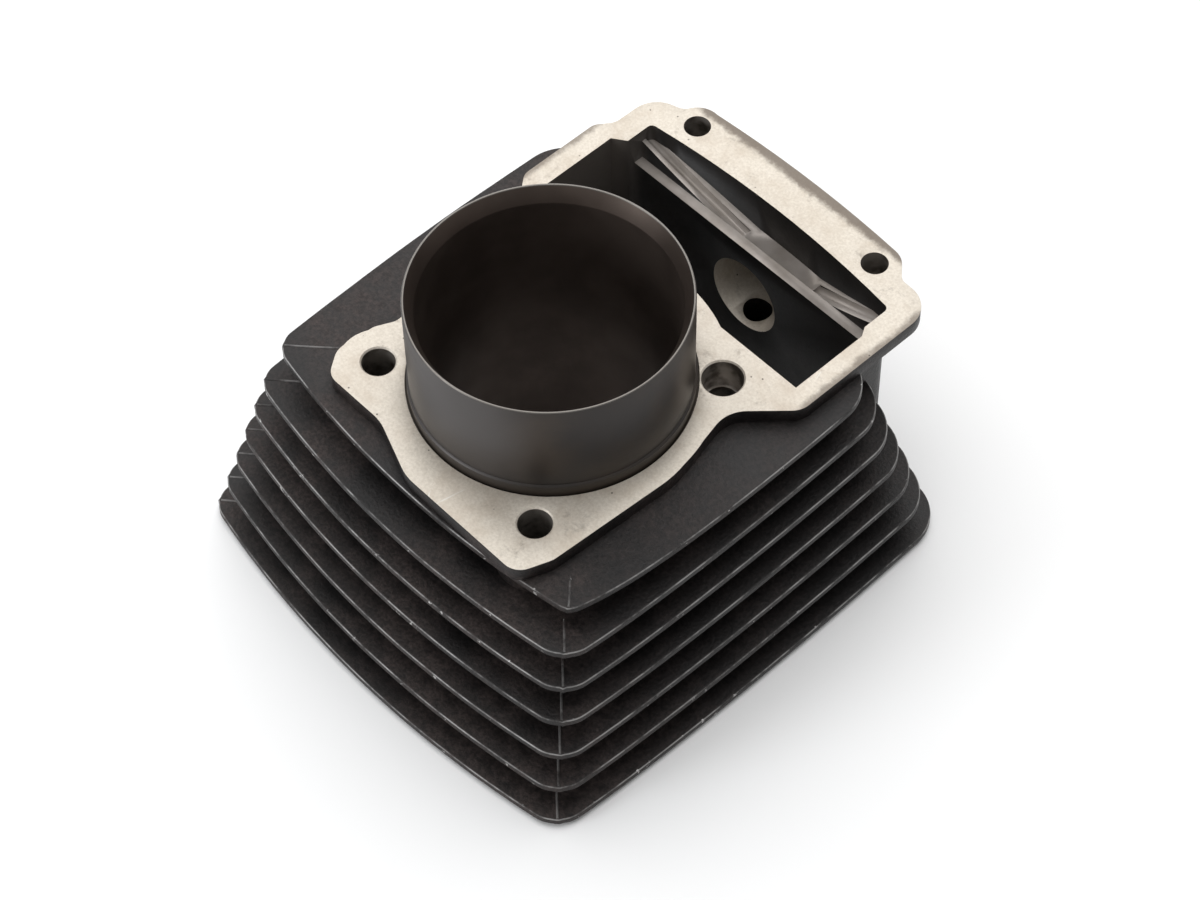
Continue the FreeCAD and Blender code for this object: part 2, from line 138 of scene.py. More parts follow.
class Finish(Graph):
    """One material. Its patterns are measured in millimetres on the object's own coordinates."""

    def __init__(self, name, **fixed):
        self.material = bpy.data.materials.new(name)
        self.material.use_nodes = True
        super().__init__(self.material.node_tree)
        self.shader = self.tree.nodes["Principled BSDF"]
        for label, value in fixed.items():
            self.shader.inputs[label.replace("_", " ")].default_value = value
        self.place = self.node("ShaderNodeTexCoord", output="Object")
        self.x, self.y, self.z = self.parts(self.vector("MULTIPLY", self.place, (1 / MM,) * 3))

    def noise(self, size, detail=3.0, roughness=0.5, stretch=(1, 1, 1), shift=0.0):
        """Soft blotches about this many millimetres across."""
        scaled = self.vector("MULTIPLY", self.place, tuple(axis / (size * MM) for axis in stretch))
        moved = self.vector("ADD", scaled, (shift, shift * 1.7, shift * 0.6))
        inputs = {"Vector": moved, "Scale": 1.0, "Detail": detail, "Roughness": roughness}
        return self.node("ShaderNodeTexNoise", inputs)

    def cells(self, size, shift):
        """The distance from the middle of the nearest cell, for cells about this many millimetres across."""
        scaled = self.vector("MULTIPLY", self.place, (1 / (size * MM),) * 3)
        moved = self.vector("ADD", scaled, (shift, shift, shift))
        return self.node("ShaderNodeTexVoronoi", {"Vector": moved, "Scale": 1.0}, "Distance")

    def attribute(self, name):
        return self.node("ShaderNodeAttribute", output="Fac", attribute_name=name)

    def mix(self, factor, first, second):
        """A colour between two colours."""
        pair = [shade if isinstance(shade, Value) else (*shade, 1.0) for shade in (first, second)]
        inputs = {0: factor, 6: pair[0], 7: pair[1]}
        return self.node("ShaderNodeMix", inputs, output=2, data_type="RGBA")

    def set(self, **channels):
        for label, value in channels.items():
            self.feed(self.shader.inputs[label.replace("_", " ")], value)

    def relief(self, height, depth, strength):
        """Bumps of this depth, in millimetres, where height goes from 0 to 1."""
        inputs = {"Height": height, "Distance": depth * MM, "Strength": strength}
        self.set(Normal=self.node("ShaderNodeBump", inputs))


class Recipe(Graph):
    """A Geometry Nodes tree whose sizes are named inputs."""

    KINDS = {float: "NodeSocketFloat", int: "NodeSocketInt"}

    def __init__(self, name, sizes, objects=(), materials=()):
        super().__init__(bpy.data.node_groups.new(name, "GeometryNodeTree"))
        face = self.tree.interface
        face.new_socket("Geometry", in_out="INPUT", socket_type="NodeSocketGeometry")
        face.new_socket("Geometry", in_out="OUTPUT", socket_type="NodeSocketGeometry")
        for label, default in sizes.items():
            socket = face.new_socket(label, in_out="INPUT", socket_type=self.KINDS[type(default)])
            socket.default_value = default
        for label in objects:
            face.new_socket(label, in_out="INPUT", socket_type="NodeSocketObject")
        for label in materials:
            face.new_socket(label, in_out="INPUT", socket_type="NodeSocketMaterial")
        self.entry = self.tree.nodes.new("NodeGroupInput")

    def given(self, label):
        return Value(self, self.entry.outputs[label])

    def shape(self, label):
        """The mesh of an object that is one of the inputs."""
        return self.node("GeometryNodeObjectInfo", {"Object": self.given(label)}, output="Geometry")

    def sample(self, geometry, field, index):
        inputs = {"Geometry": geometry, "Value": field, "Index": index}
        return self.node("GeometryNodeSampleIndex", inputs, data_type="FLOAT_VECTOR", domain="POINT")

    def finish(self, geometry, material):
        solid = self.node("GeometryNodeRealizeInstances", {"Geometry": geometry})
        faced = self.node("GeometryNodeSetMaterial", {"Geometry": solid, "Material": self.given(material)})
        leave = self.tree.nodes.new("NodeGroupOutput")
        self.tree.links.new(faced.socket, leave.inputs["Geometry"])

    def make(self, name, start, **inputs):
        """Runs the tree on a start mesh with these inputs and gives back a plain mesh object."""
        seed = placed(name + "_start", start)
        modifier = seed.modifiers.new("recipe", "NODES")
        modifier.node_group = self.tree
        listed = self.tree.interface.items_tree
        sockets = {item.name: item.identifier for item in listed if item.in_out == "INPUT"}
        for label, value in inputs.items():
            modifier[sockets[label.replace("_", " ")]] = value
        settled = seed.evaluated_get(bpy.context.evaluated_depsgraph_get())
        mesh = bpy.data.meshes.new_from_object(settled)
        bpy.data.objects.remove(seed)
        mesh.name = name
        return placed(name, mesh)


# ---------------------------------------------------------------- finishes


def satin_black_paint():
    """Thin satin black paint on a sand casting: dusty on level faces, with the dust thinned towards the right
    and rear as painted shade, worn to bright metal on the rims, with a painted highlight along the top
    rounding of each rim and on the parting ridges.
    """
    paint = Finish("satin_black_paint", IOR=1.38)
    grain = paint.noise(0.9, detail=5, roughness=0.65)
    cloud = paint.noise(24, detail=4, roughness=0.55)
    mottle = paint.noise(4.5, detail=5, roughness=0.7, shift=7)
    dust_and_side_shade = paint.rise(cloud, 0.34, 0.62) * (0.35 + 0.85 * paint.rise(mottle, 0.32, 0.68))
    # Painted shade: less dust towards the right and rear, so the fin tops there are painted darker, standing
    # in for the shade they lie in.
    dust_and_side_shade = dust_and_side_shade * (1 - 0.6 * paint.rise(paint.x + 0.6 * paint.y, 20, 62))
    dark = paint.mix(paint.rise(grain, 0.30, 0.72), (0.0030, 0.0026, 0.0027), (0.0110, 0.0090, 0.0088))
    brown = paint.mix(paint.rise(grain, 0.30, 0.72), (0.016, 0.0118, 0.0108), (0.050, 0.0375, 0.0345))
    dusty_and_shaded = paint.mix(dust_and_side_shade, dark, brown)
    rim = paint.attribute("rim")
    # Painted highlight: the band on each rim's top rounding is made bright and metallic where light would
    # catch the edge, mixed with rubbed wear; the lower band and the chips are wear.
    upper = paint.rise(rim, 0.19, 0.27) * (1 - paint.rise(rim, 0.33, 0.42))
    lower = paint.rise(rim, 0.60, 0.64) * (1 - paint.rise(rim, 0.70, 0.76))
    rubbed = paint.rise(paint.noise(9, detail=5, roughness=0.65, shift=3), 0.36, 0.62)
    chipped = paint.rise(paint.noise(2.2, detail=3, shift=11), 0.66, 0.70) * paint.rise(rim, 0.10, 0.2)
    chipped = chipped * (1 - paint.rise(rim, 0.5, 0.6)) * paint.rise(cloud, 0.45, 0.55)
    rim_wear_and_highlight = paint.maths("MAXIMUM", upper * (0.04 + 0.56 * rubbed), lower * rubbed * 0.10)
    # bare holds the rim wear and chips together with the painted rim highlight.
    bare = paint.maths("MAXIMUM", rim_wear_and_highlight, chipped, clamp=True)
    paint.set(Base_Color=paint.mix(bare, dusty_and_shaded, (0.50, 0.49, 0.48)))
    paint.set(Roughness=0.38 + 0.16 * dust_and_side_shade + 0.12 * mottle - 0.06 * bare, Metallic=bare)
    paint.relief(grain, 0.22, 0.75)
    return paint.material


def machined_face():
    """The milled aluminium gasket faces: warm silver, finely worn, stained towards the chain side's edge."""
    face = Finish("machined_face", IOR=1.5)
    fine = face.noise(0.7, detail=5, roughness=0.7)
    cloud = face.noise(11, detail=6, roughness=0.68, shift=2)
    light = face.mix(face.rise(fine, 0.3, 0.7), (0.55, 0.495, 0.42), (0.68, 0.625, 0.545))
    warm = face.mix(face.rise(cloud, 0.42, 0.72) * 0.5, light, (0.44, 0.365, 0.285))
    pit = 1 - face.rise(face.cells(3.4, shift=4), 0.05, 0.09)
    pitted = pit * face.rise(face.noise(8, detail=2, shift=9), 0.50, 0.60)
    ragged = 5 * face.noise(5, detail=6, roughness=0.75, shift=5)
    rear = face.rise(face.y + ragged, 87.2, 89.4)
    side = face.rise(face.maths("ABSOLUTE", face.x + 1.75) + ragged, 50.6, 52.6) * face.rise(face.y, 28, 40)
    rear = face.maths("MAXIMUM", rear, side * 0.8)
    smudge = face.rise(face.noise(7, detail=5, roughness=0.75, shift=13), 0.56, 0.72) * 0.5
    stain = face.maths("MAXIMUM", rear, smudge, clamp=True)
    stained = face.mix(stain * 0.8, warm, (0.115, 0.085, 0.062))
    scratch = scratches(face)
    marked = face.mix(scratch, face.mix(pitted * 0.85, stained, (0.05, 0.038, 0.03)), (0.66, 0.63, 0.58))
    face.set(Base_Color=marked)
    face.set(Metallic=0.35 - 0.2 * stain, Roughness=0.42 + 0.16 * fine + 0.12 * stain - 0.1 * scratch)
    face.relief(fine - 0.6 * pitted, 0.06, 0.5)
    return face.material


def scratches(face):
    """A few thin straight marks: long cells seen edge on, broken up along their length."""
    marks = []
    cell_length, cell_width = 60, 14
    for turn, shift in ((0.6, 3.0), (-0.9, 8.0)):
        along = face.x * math.cos(turn) + face.y * math.sin(turn)
        across = face.y * math.cos(turn) - face.x * math.sin(turn)
        spot = face.join(along / cell_length + shift, across / cell_width, shift)
        line = face.node("ShaderNodeTexVoronoi", {"Vector": spot, "Scale": 1.0}, "Distance",
                         feature="DISTANCE_TO_EDGE")
        marks.append((1 - face.rise(line, 0.001, 0.006)) * face.rise(face.noise(12, shift=shift), 0.63, 0.70))
    return face.maths("MAXIMUM", marks[0], marks[1], clamp=True)


def tunnel_skin():
    """The chain tunnel's as-cast inside: dark grey-brown and satin."""
    skin = Finish("tunnel_skin", IOR=1.5)
    grain = skin.noise(0.7, detail=4, roughness=0.6)
    cloud = skin.noise(16, detail=4, shift=6)
    dark = skin.mix(skin.rise(cloud, 0.3, 0.7), (0.008, 0.007, 0.0065), (0.019, 0.016, 0.0145))
    end = skin.rise(0 - skin.x, 38, 45.5) * skin.rise(skin.z + 18 * cloud, 20, 62)
    skin.set(Base_Color=skin.mix(end, dark, (0.105, 0.090, 0.078)))
    skin.set(Metallic=0.15, Roughness=0.42 + 0.14 * grain)
    skin.relief(grain, 0.09, 0.5)
    return skin.material


def bare_casting():
    """Uncoated aluminium on the ledge and in the cross bore: smooth, grey, a little brown."""
    bare = Finish("bare_casting", IOR=1.5)
    grain = bare.noise(0.6, detail=4, roughness=0.6)
    cloud = bare.noise(9, detail=4, shift=8)
    bare.set(Base_Color=bare.mix(bare.rise(cloud, 0.3, 0.7), (0.42, 0.38, 0.35), (0.29, 0.255, 0.225)))
    bare.set(Metallic=0.35, Roughness=0.40 + 0.14 * grain)
    bare.relief(grain, 0.06, 0.5)
    return bare.material


def drilled_hole():
    """The walls of the drilled stud and bolt holes, ringed by the drill."""
    hole = Finish("drilled_hole", IOR=1.5)
    rings = hole.noise(0.5, detail=2, stretch=(0.05, 0.05, 1))
    soil = hole.rise(hole.noise(4, detail=4, shift=1), 0.35, 0.7)
    hole.set(Base_Color=hole.mix(soil, (0.34, 0.31, 0.28), (0.10, 0.085, 0.07)))
    hole.set(Metallic=0.8, Roughness=0.36 + 0.2 * rings)
    hole.relief(rings, 0.05, 0.5)
    return hole.material


def turned_iron():
    """The liner's outside: fine-turned grey iron, oiled, with a faint brown tint and a painted bluish sheen
    on the side facing the front and left.
    """
    iron = Finish("turned_iron", IOR=1.5)
    rings = iron.noise(0.35, detail=3, stretch=(0.02, 0.02, 1))
    cloud = iron.noise(24, detail=4, shift=4)
    oiled = iron.mix(iron.rise(cloud, 0.35, 0.65), (0.034, 0.030, 0.028), (0.050, 0.039, 0.031))
    # Painted sheen: the side of the liner facing the front and left is coloured lighter and bluer, standing
    # in for the light it catches there.
    painted_sheen = iron.rise(0 - iron.y - 0.5 * iron.x + 10 * (cloud - 0.5), 12, 27)
    tint = iron.mix(painted_sheen, oiled, (0.070, 0.064, 0.062))
    low = 1 - iron.rise(iron.z + 1.2 * cloud, BARREL_HEIGHT / MM + 0.3, BARREL_HEIGHT / MM + 4.2)
    iron.set(Base_Color=iron.mix(low * 0.75, tint, (0.050, 0.038, 0.028)))
    iron.set(Metallic=0.6, Roughness=0.38 + 0.10 * rings + 0.12 * low)
    iron.relief(rings, 0.02, 0.4)
    return iron.material


def liner_rim():
    """The liner's narrow end face and lead-in, ground bright."""
    rim = Finish("liner_rim", IOR=1.5)
    rings = rim.noise(0.3, detail=2, shift=3)
    rim.set(Base_Color=rim.mix(rings, (0.20, 0.185, 0.17), (0.13, 0.12, 0.11)))
    rim.set(Metallic=0.9, Roughness=0.30 + 0.1 * rings)
    return rim.material


def honed_bore():
    """The bore: plateau-honed iron, dark and oily, crossed by fine slanting lines."""
    bore = Finish("honed_bore", IOR=1.5)
    angle = bore.maths("ARCTAN2", bore.y, bore.x) * (BORE_RADIUS / MM)
    lines = []
    for slant in (0.55, -0.55):
        across = bore.join((bore.z + slant * angle) * 2.6, angle * 0.04, 0.0)
        lines.append(bore.node("ShaderNodeTexNoise", {"Vector": across, "Scale": 1.0, "Detail": 2.0}))
    hatch = bore.maths("MAXIMUM", lines[0], lines[1])
    cloud = bore.noise(20, detail=3, shift=12)
    bore.set(Base_Color=bore.mix(bore.rise(cloud, 0.3, 0.7), (0.125, 0.098, 0.083), (0.082, 0.063, 0.053)))
    bore.set(Metallic=0.8, Roughness=0.30 + 0.14 * hatch)
    bore.relief(hatch, 0.02, 0.35)
    return bore.material


def backdrop_white():
    paper = Finish("backdrop_white")
    paper.set(Base_Color=(0.92, 0.92, 0.92, 1.0), Roughness=0.9)
    return paper.material


# ---------------------------------------------------------------- mesh helpers


def placed(name, data):
    """A new object in the scene that holds this mesh, lamp or lens."""
    made = bpy.data.objects.new(name, data)
    bpy.context.collection.objects.link(made)
    return made


def solid_object(name, mesh, *materials, angle=SMOOTH_ANGLE):
    """A shown piece with these materials, smooth except across edges sharper than the angle."""
    for material in materials:
        mesh.materials.append(material)
    soften(mesh, angle)
    return placed(name, mesh)


def soften(mesh, angle=SMOOTH_ANGLE):
    mesh.shade_smooth()
    mesh.set_sharp_from_angle(angle=math.radians(angle))


def polyline_mesh(name, points):
    mesh = bpy.data.meshes.new(name)
    mesh.from_pydata(points, [(index, index + 1) for index in range(len(points) - 1)], [])
    return mesh


def finished_mesh(name, bm):
    mesh = bpy.data.meshes.new(name)
    bm.to_mesh(mesh)
    bm.free()
    return mesh


def turned(name, profile, steps=256):
    """A closed ring turned about the bore's axis from a closed profile of (radius, height, face number)."""
    bm = bmesh.new()
    rings = []
    for radius, height, _ in profile:
        turn = [2 * math.pi * step / steps for step in range(steps)]
        rings.append([bm.verts.new((radius * math.cos(a), radius * math.sin(a), height)) for a in turn])
    for index, ring in enumerate(rings):
        above = rings[(index + 1) % len(rings)]
        for step in range(steps):
            after = (step + 1) % steps
            face = bm.faces.new((ring[step], ring[after], above[after], above[step]))
            face.material_index = profile[index][2]
    bmesh.ops.recalc_face_normals(bm, faces=bm.faces)
    return finished_mesh(name, bm)


def arc_points(centre, radius, start, end, steps):
    """Points of an arc, from one angle in degrees to another."""
    angles = [math.radians(start + (end - start) * step / steps) for step in range(steps + 1)]
    return [(centre[0] + radius * math.cos(a), centre[1] + radius * math.sin(a)) for a in angles]


# ---------------------------------------------------------------- the casting's holes

STUD_REACH = 5.7 * MM
BOLT_REACH = 3.8 * MM


def hole_places():
    """Each stud and bolt hole's centre, with how far its wall reaches."""
    places = []
    for name, reach in (("left_studs", STUD_REACH), ("right_studs", STUD_REACH), ("side_bolts", BOLT_REACH)):
        x, y, _ = MOUNTS[name]["pos_m"]
        dims = MOUNTS[name]["dims"]
        half_x = dims.get("spacing_x_mm", 0) * MM / 2
        half_y = dims.get("spacing_y_mm", 0) * MM / 2
        places += [(x - half_x, y - half_y, reach), (x + half_x, y + half_y, reach)]
    return places


# ---------------------------------------------------------------- cooling fins

FIN_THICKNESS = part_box("cooling_fin_1")[1].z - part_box("cooling_fin_1")[0].z
FIN_MIDDLE = (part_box("cooling_fin_7")[0].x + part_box("cooling_fin_7")[1].x) / 2
FRONT_BOW = 5.8 * MM
FRONT_BOW_STEP = 0.28 * MM
SIDE_BOW = 1.5 * MM
LEFT_RADIUS = 5.5 * MM
REAR_RADIUS = 12 * MM
RIM_ROUNDING = 0.45 * MM
RIM_BAND = 1.8 * MM
OUTLINE_POINTS = 620
FLASH = 0.35 * MM
RIDGE_RADIUS = 0.32 * MM
RIDGE_SINK = 0.10 * MM
# Rim share given to the parting ridges: it lies in the band of painted highlight and wear on the rim's top
# rounding.
RIDGE_WEAR_AND_HIGHLIGHT = 0.23
FLASH_WIDTH = 1.0 * MM
SHOULDER_SHARPNESS = 8
# The deck is fin 1, under the crankcase flange; the plain names are for the six fins below it.
DECK_LEFT_INSET, LEFT_INSET = 0.5 * MM, 1.2 * MM
DECK_RIGHT_INSET, RIGHT_INSET = 4.2 * MM, 1.3 * MM
DECK_RIGHT_RADIUS, RIGHT_RADIUS = 2.6 * MM, 6.5 * MM
LEFT_RIDGE, RIGHT_RIDGE = 16 * MM, 10 * MM
RIDGE_POINTS = 12
RIDGE_SIDES = 10
CORNER_POINTS = 14
WAVINESS = 0.10 * MM
RIPPLES_PER_METRE = 38
WAVE_SEED_STEP = 7
SEAM_GAP = 2e-6
JACKET_RADIUS = 38.3 * MM
COLUMN_RADIUS = 7 * MM
TUNNEL_BLOCK = (Vector((-47.6, 37.2, -10)) * MM, Vector((44.6, 69.2, 76)) * MM)
CUTTER_SIDES = 96
CUTTER_OVERHANG = 20 * MM


def rim_profile():
    """A fin's rim, from the top face round the edge to the bottom face."""
    r, low, arc_steps = RIM_ROUNDING, -FIN_THICKNESS, 4
    between = -RIM_BAND * 0.4
    points = [(-RIM_BAND, 0), (between, 0)]
    points += arc_points((-r, -r), r, 90, 0, arc_steps)
    points += arc_points((-r, low + r), r, 0, -90, arc_steps)
    points += [(between, low), (-RIM_BAND, low)]
    return placed("rim_profile", polyline_mesh("rim_profile", [(x, z, 0) for x, z in points]))


def round_cutter(name, places, radius):
    """Upright cylinders, taller than the casting."""
    bm = bmesh.new()
    for x, y in places:
        place = Matrix.Translation((x, y, BARREL_HEIGHT / 2))
        bmesh.ops.create_cone(bm, cap_ends=True, segments=CUTTER_SIDES, radius1=radius, radius2=radius,
                              depth=BARREL_HEIGHT + CUTTER_OVERHANG, matrix=place)
    return placed(name, finished_mesh(name, bm))


def box_cutter(name, low, high):
    bm = bmesh.new()
    scale = Matrix.Diagonal((*(high - low), 1))
    bmesh.ops.create_cube(bm, size=1, matrix=Matrix.Translation((low + high) / 2) @ scale)
    return placed(name, finished_mesh(name, bm))


def core_cutters():
    """The casting's upright walls, filled, a little inside their real faces: fins are cut round them."""
    studs = [(x, y) for x, y, reach in hole_places() if reach == STUD_REACH]
    return {
        "Jacket": round_cutter("jacket", [(0, 0)], JACKET_RADIUS),
        "Columns": round_cutter("columns", studs, COLUMN_RADIUS),
        "Tunnel": box_cutter("tunnel", *TUNNEL_BLOCK),
    }


def corner_tick(fin, out_x, out_y):
    """1 where the mould's parting line crosses a round corner, 0 a little to either side."""
    beside = 1 - fin.maths("ABSOLUTE", out_x - out_y) / FLASH_WIDTH
    at_corner = fin.maths("GREATER_THAN", fin.maths("MINIMUM", out_x, out_y), 0.0)
    return fin.maths("MAXIMUM", beside, 0.0) * at_corner


def parting_ridge(fin, corner, inward, radius, length, bowed):
    """The low ridge that the mould's parting line leaves on a fin's top, inward from a round corner."""
    unit = fin.vector("NORMALIZE", inward)
    start = fin.stretched(unit, radius * (math.sqrt(2) - 1) + RIM_ROUNDING)
    run = fin.stretched(unit, length)
    start = fin.vector("ADD", corner, start)
    line = fin.node("GeometryNodeCurvePrimitiveLine", {"Start": start, "End": fin.vector("ADD", start, run)})
    line = fin.node("GeometryNodeResampleCurve", {"Curve": line, "Count": RIDGE_POINTS}, mode="COUNT")
    line = fin.node("GeometryNodeSetPosition", {"Geometry": line, "Position": bowed})
    lift = fin.join(0.0, 0.0, fin.given("Top") - RIDGE_SINK)
    line = fin.node("GeometryNodeSetPosition", {"Geometry": line, "Offset": lift})
    ring = fin.node("GeometryNodeCurvePrimitiveCircle", {"Resolution": RIDGE_SIDES, "Radius": RIDGE_RADIUS})
    bar = fin.node("GeometryNodeCurveToMesh", {"Curve": line, "Profile Curve": ring, "Fill Caps": True})
    # The ridge gets the rim share of the rim's top rounding, so it takes that band's painted highlight and
    # wear.
    inputs = {"Geometry": bar, "Name": "rim", "Value": RIDGE_WEAR_AND_HIGHLIGHT}
    return fin.node("GeometryNodeStoreNamedAttribute", inputs, data_type="FLOAT", domain="POINT")


def fin_recipe():
    """One fin: a four-sided plate with bowed edges and round corners, rimmed by a swept profile."""
    sizes = {
        "Half Width": 0.056, "Middle": 0.0, "Front": -0.04, "Rear": 0.06,
        "Front Bow": 0.006, "Side Bow": 0.0015,
        "Left Inset": 0.001, "Right Inset": 0.001, "Left Radius": 0.005, "Right Radius": 0.006,
        "Rear Radius": 0.012, "Left Ridge": 0.016, "Right Ridge": 0.01, "Top": 0.06, "Thickness": 0.002,
        "Waviness": 0.0001, "Seed": 0.0, "Points": 100, "Rim Rows": 14,
    }
    cutters = ("Jacket", "Columns", "Tunnel")
    fin = Recipe("cooling_fin", sizes, objects=("Rim Profile",) + cutters, materials=("Finish",))
    half, middle = fin.given("Half Width"), fin.given("Middle")
    front, rear = fin.given("Front"), fin.given("Rear")
    inset, right_inset = fin.given("Left Inset"), fin.given("Right Inset")
    left_radius, right_radius = fin.given("Left Radius"), fin.given("Right Radius")
    corners = {
        "Point 1": fin.join(middle - half + inset, front + inset, 0.0),
        "Point 2": fin.join(middle + half - right_inset, front, 0.0),
        "Point 3": fin.join(middle + half, rear, 0.0),
        "Point 4": fin.join(middle - half, rear, 0.0),
    }
    square = fin.node("GeometryNodeCurvePrimitiveQuadrilateral", corners, mode="POINTS")
    index = fin.node("GeometryNodeInputIndex")
    at_rear = fin.maths("GREATER_THAN", index, 1.5)
    at_right = fin.maths("COMPARE", index, 1.0, 0.1)
    at_left = fin.maths("COMPARE", index, 0.0, 0.1)
    radius = left_radius * at_left + right_radius * at_right + fin.given("Rear Radius") * at_rear
    inputs = {"Curve": square, "Radius": radius, "Limit Radius": True, "Count": CORNER_POINTS}
    rounded = fin.node("GeometryNodeFilletCurve", inputs, mode="POLY")
    inputs = {"Curve": rounded, "Count": fin.given("Points")}
    even = fin.node("GeometryNodeResampleCurve", inputs, mode="COUNT")

    place = fin.node("GeometryNodeInputPosition")
    x, y, _ = fin.parts(place)
    across = (x - middle) / half
    forward = fin.maths("MULTIPLY", y / front, 1.0, clamp=True)
    along = (2 * y - front - rear) / (rear - front)
    right_tick = corner_tick(fin, x - middle - half + right_inset + right_radius, front + right_radius - y)
    left_tick = corner_tick(fin, middle - half + inset + left_radius - x, front + inset + left_radius - y)
    ticked = {"Geometry": even, "Name": "flash", "Value": FLASH * (right_tick + left_tick)}
    even = fin.node("GeometryNodeStoreNamedAttribute", ticked, data_type="FLOAT", domain="POINT")
    ahead = fin.maths("DIVIDE", rear - y, rear - front, clamp=True)
    shoulder = right_inset * (ahead - ahead ** SHOULDER_SHARPNESS) * fin.maths("MAXIMUM", across, 0.0) ** 2
    fine_place = fin.vector("MULTIPLY", place, (RIPPLES_PER_METRE,) * 3)
    ripple_at = fin.vector("ADD", fine_place, fin.join(fin.given("Seed"), 0.0, 0.0))
    ripple = fin.node("ShaderNodeTexNoise", {"Vector": ripple_at, "Scale": 1.0, "Detail": 2.0}) - 0.5
    wave = ripple * 2 * fin.given("Waviness")
    bowed = fin.join(
        x + fin.given("Side Bow") * across * across * across * (1 - along * along) + shoulder + wave * across,
        y - fin.given("Front Bow") * forward * (1 - across * across) + wave * forward,
        0.0,
    )
    path = fin.node("GeometryNodeSetPosition", {"Geometry": even, "Position": bowed})

    rows, count = fin.given("Rim Rows"), fin.given("Points")
    grid = fin.node("GeometryNodeMeshGrid", {"Vertices X": count + 1, "Vertices Y": rows})
    column = fin.maths("FLOOR", (index + 0.5) / rows)
    row = index - column * rows
    spot = fin.maths("MODULO", column, count)
    tangent = fin.node("GeometryNodeInputTangent")
    outward_field = fin.vector("NORMALIZE", fin.vector("CROSS_PRODUCT", tangent, (0, 0, 1)))
    here = fin.sample(path, place, spot)
    outward = fin.sample(path, outward_field, spot)
    out, down, _ = fin.parts(fin.sample(fin.shape("Rim Profile"), place, row))
    tick = fin.node("GeometryNodeInputNamedAttribute", {"Name": "flash"}, data_type="FLOAT")
    tick, _, _ = fin.parts(fin.sample(path, fin.join(tick, 0.0, 0.0), spot))
    near_edge = fin.maths("GREATER_THAN", out, -RIM_ROUNDING * 1.01)
    side = fin.stretched(outward, out + tick * near_edge)
    rim_at = fin.vector("ADD", fin.vector("ADD", here, side), fin.join(0.0, 0.0, down))
    band = fin.node("GeometryNodeSetPosition", {"Geometry": grid, "Position": rim_at})
    share = row / (rows - 1)
    inputs = {"Geometry": band, "Name": "rim", "Value": share}
    band = fin.node("GeometryNodeStoreNamedAttribute", inputs, data_type="FLOAT", domain="POINT")

    inward = fin.stretched(outward_field, -RIM_BAND)
    inner = fin.node("GeometryNodeSetPosition", {"Geometry": path, "Offset": inward})
    top = fin.node("GeometryNodeFillCurve", {"Curve": inner}, mode="TRIANGLES")
    drop = fin.join(0.0, 0.0, 0 - fin.given("Thickness"))
    bottom = fin.node("GeometryNodeSetPosition", {"Geometry": top, "Offset": drop})
    bottom = fin.node("GeometryNodeFlipFaces", {"Mesh": bottom})
    shell = fin.node("GeometryNodeJoinGeometry", {"Geometry": [band, top, bottom]})
    plate = fin.node("GeometryNodeMergeByDistance", {"Geometry": shell, "Distance": SEAM_GAP})
    lift = fin.join(0.0, 0.0, fin.given("Top") + wave)
    plate = fin.node("GeometryNodeSetPosition", {"Geometry": plate, "Offset": lift})
    left_start = fin.join(middle - half + inset, front + inset, 0.0)
    right_start = fin.join(middle + half - right_inset, front, 0.0)
    left_ridge = parting_ridge(fin, left_start, (1, 1, 0), left_radius, fin.given("Left Ridge"), bowed)
    right_ridge = parting_ridge(fin, right_start, (-1, 1, 0), right_radius, fin.given("Right Ridge"), bowed)
    inputs = {"Mesh 1": plate, "Mesh 2": [fin.shape(label) for label in cutters]}
    cut = fin.node("GeometryNodeMeshBoolean", inputs, operation="DIFFERENCE", solver="EXACT")
    ridged = fin.node("GeometryNodeJoinGeometry", {"Geometry": [cut, left_ridge, right_ridge]})
    fin.finish(ridged, "Finish")
    return fin


def cooling_fins(paint):
    """The seven fins, each in its CAD fin's place, wider and further forward towards the head."""
    recipe = fin_recipe()
    profile, cutters = rim_profile(), core_cutters()
    for number in range(1, FIN_COUNT + 1):
        node = "cooling_fin_%d" % number
        low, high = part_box(node)
        bow = FRONT_BOW + (number - 1) * FRONT_BOW_STEP
        deck = number == 1
        fin = recipe.make(
            "fin_%d" % number, polyline_mesh("start", [(0, 0, 0), (0, 0, MM)]),
            Half_Width=high.x - FIN_MIDDLE - SIDE_BOW, Middle=FIN_MIDDLE, Front=low.y + bow, Rear=high.y,
            Front_Bow=bow, Side_Bow=SIDE_BOW, Left_Inset=DECK_LEFT_INSET if deck else LEFT_INSET,
            Right_Inset=DECK_RIGHT_INSET if deck else RIGHT_INSET, Left_Radius=LEFT_RADIUS,
            Right_Radius=DECK_RIGHT_RADIUS if deck else RIGHT_RADIUS, Rear_Radius=REAR_RADIUS,
            Left_Ridge=LEFT_RIDGE, Right_Ridge=RIGHT_RIDGE, Top=high.z, Thickness=FIN_THICKNESS,
            Waviness=WAVINESS, Seed=float(number * WAVE_SEED_STEP),
            Points=OUTLINE_POINTS, Rim_Rows=len(profile.data.vertices),
            Rim_Profile=profile, Finish=paint, **cutters,
        )
        soften(fin.data)
        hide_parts(node)
        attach(fin, "root")
    for helper in (profile, *cutters.values()):
        bpy.data.objects.remove(helper)


# ---------------------------------------------------------------- the barrel's body

